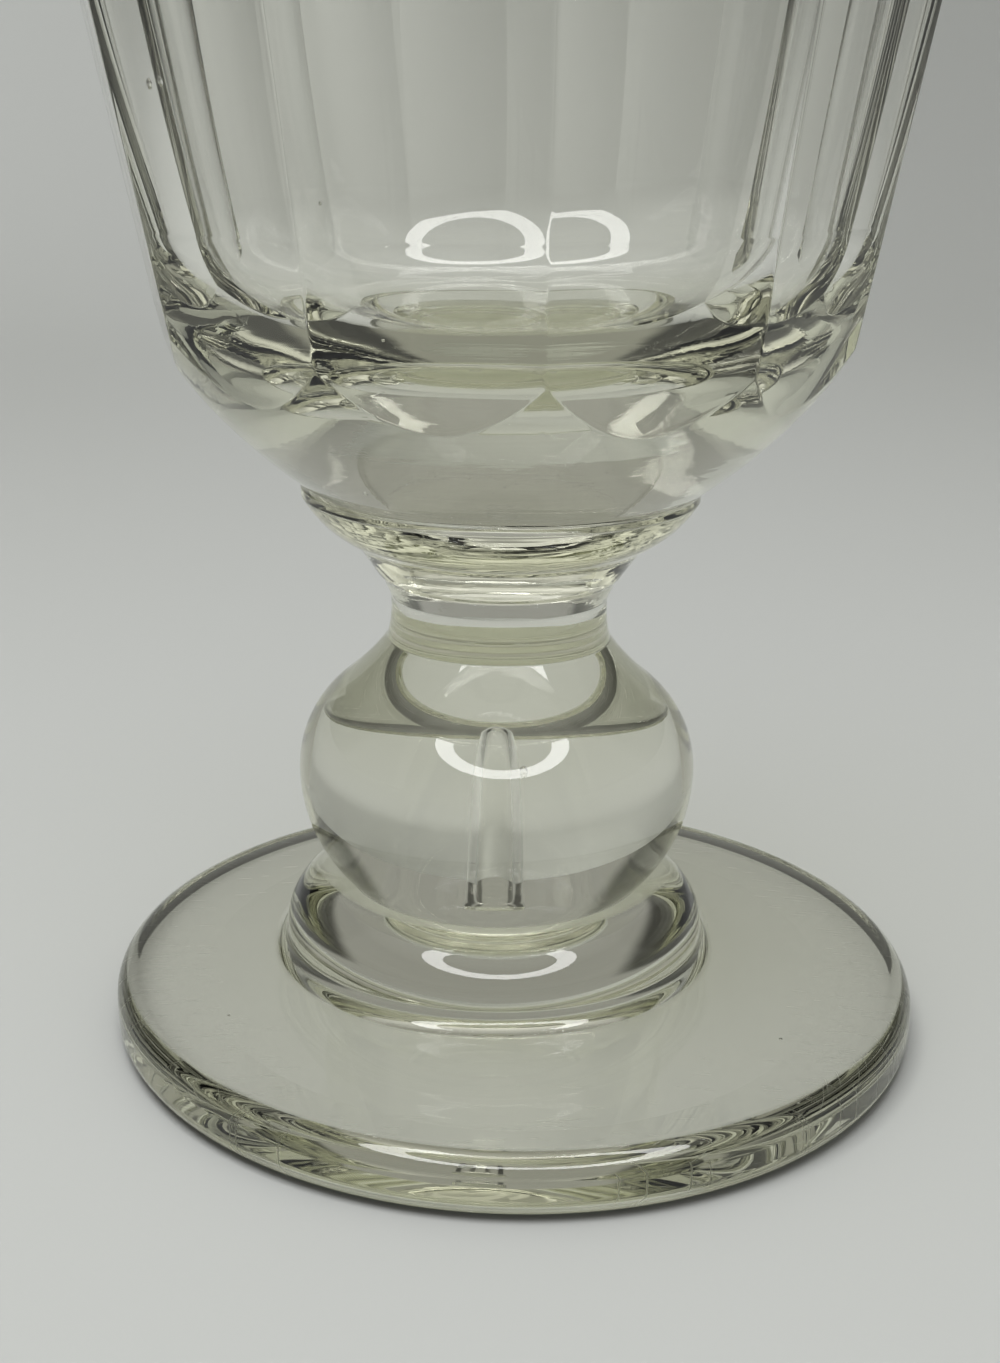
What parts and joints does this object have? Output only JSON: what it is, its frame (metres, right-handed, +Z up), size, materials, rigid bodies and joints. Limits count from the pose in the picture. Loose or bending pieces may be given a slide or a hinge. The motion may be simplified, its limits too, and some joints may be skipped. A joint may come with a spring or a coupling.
{
  "type": "stemmed drinking glass",
  "caption": "Heavy clear glass rummer: a deep bowl with flat arched panels stands on a ball-knopped stem, a domed ring and a thick round foot.",
  "frame": {"origin": "on the stem's axis, on the surface that the foot rests on", "axes": "+Z up along the stem, +X to the right of someone who faces the glass as the picture shows it, and one flat panel faces +X"},
  "size_m": [0.0835, 0.0818, 0.1308],
  "materials": {
    "glass": "polished clear lead glass with a faint warm grey tint, worn and scratched at the foot"
  },
  "bodies": {
    "root": {"rummer": "glass"}
  },
  "joints": []
}
